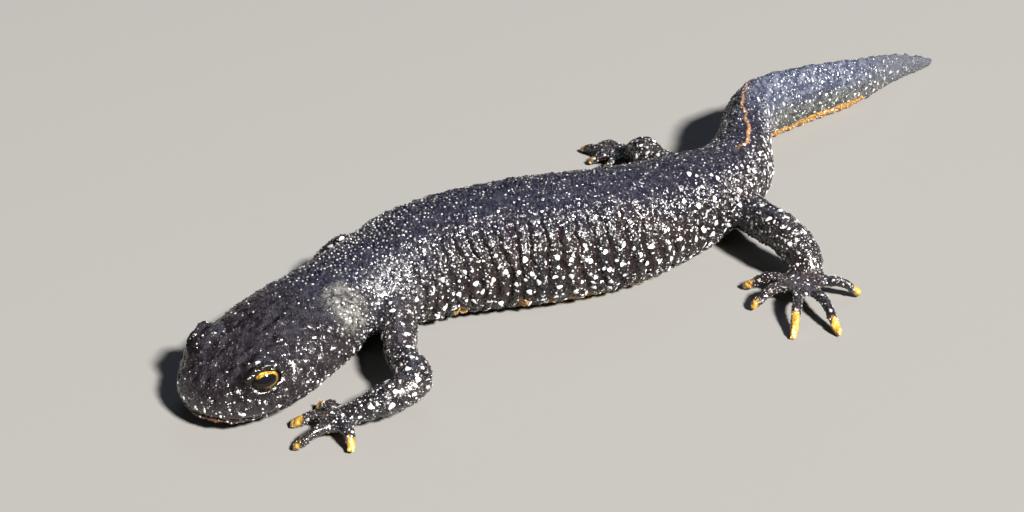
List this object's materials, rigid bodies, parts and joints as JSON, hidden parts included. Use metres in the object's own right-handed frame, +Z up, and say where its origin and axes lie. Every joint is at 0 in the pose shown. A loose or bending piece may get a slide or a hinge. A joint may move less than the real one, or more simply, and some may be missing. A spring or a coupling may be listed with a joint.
{
  "type": "great crested newt model",
  "caption": "Life-size still model of a great crested newt resting on its belly, legs spread, head turned a little and tail laid in a flat S.",
  "frame": {"origin": "middle of the model's box at the level it rests on", "axes": "+X towards the animal's left side, +Y along the body from head to tail, +Z up"},
  "size_m": [0.0514, 0.1242, 0.0124],
  "materials": {
    "head_skin": "moist dark skin with fine pits, pale stipple and a glossy film",
    "trunk_skin": "moist granular blue-black skin with white warts low on the flanks and an orange belly",
    "tail_skin": "moist granular skin, bluish grey on the sides, with pale spots and an orange lower edge",
    "limb_skin": "moist granular dark skin with white blotches",
    "digit_skin": "dark skin with yellow-orange tips and undersides",
    "eye": "glossy eye with a gold iris and a dark pupil"
  },
  "bodies": {
    "root": {"head": "head_skin", "neck": "trunk_skin", "chest": "trunk_skin", "belly": "trunk_skin", "hips": "trunk_skin", "tail_root": "tail_skin", "tail_middle": "tail_skin", "tail_tip": "tail_skin", "eye_left": "eye", "eye_right": "eye", "upper_arm_left": "limb_skin", "forearm_left": "limb_skin", "thigh_left": "limb_skin", "shank_left": "limb_skin", "hand_left": "digit_skin", "foot_left": "digit_skin", "upper_arm_right": "limb_skin", "forearm_right": "limb_skin", "thigh_right": "limb_skin", "shank_right": "limb_skin", "hand_right": "digit_skin", "foot_right": "digit_skin"}
  },
  "joints": []
}
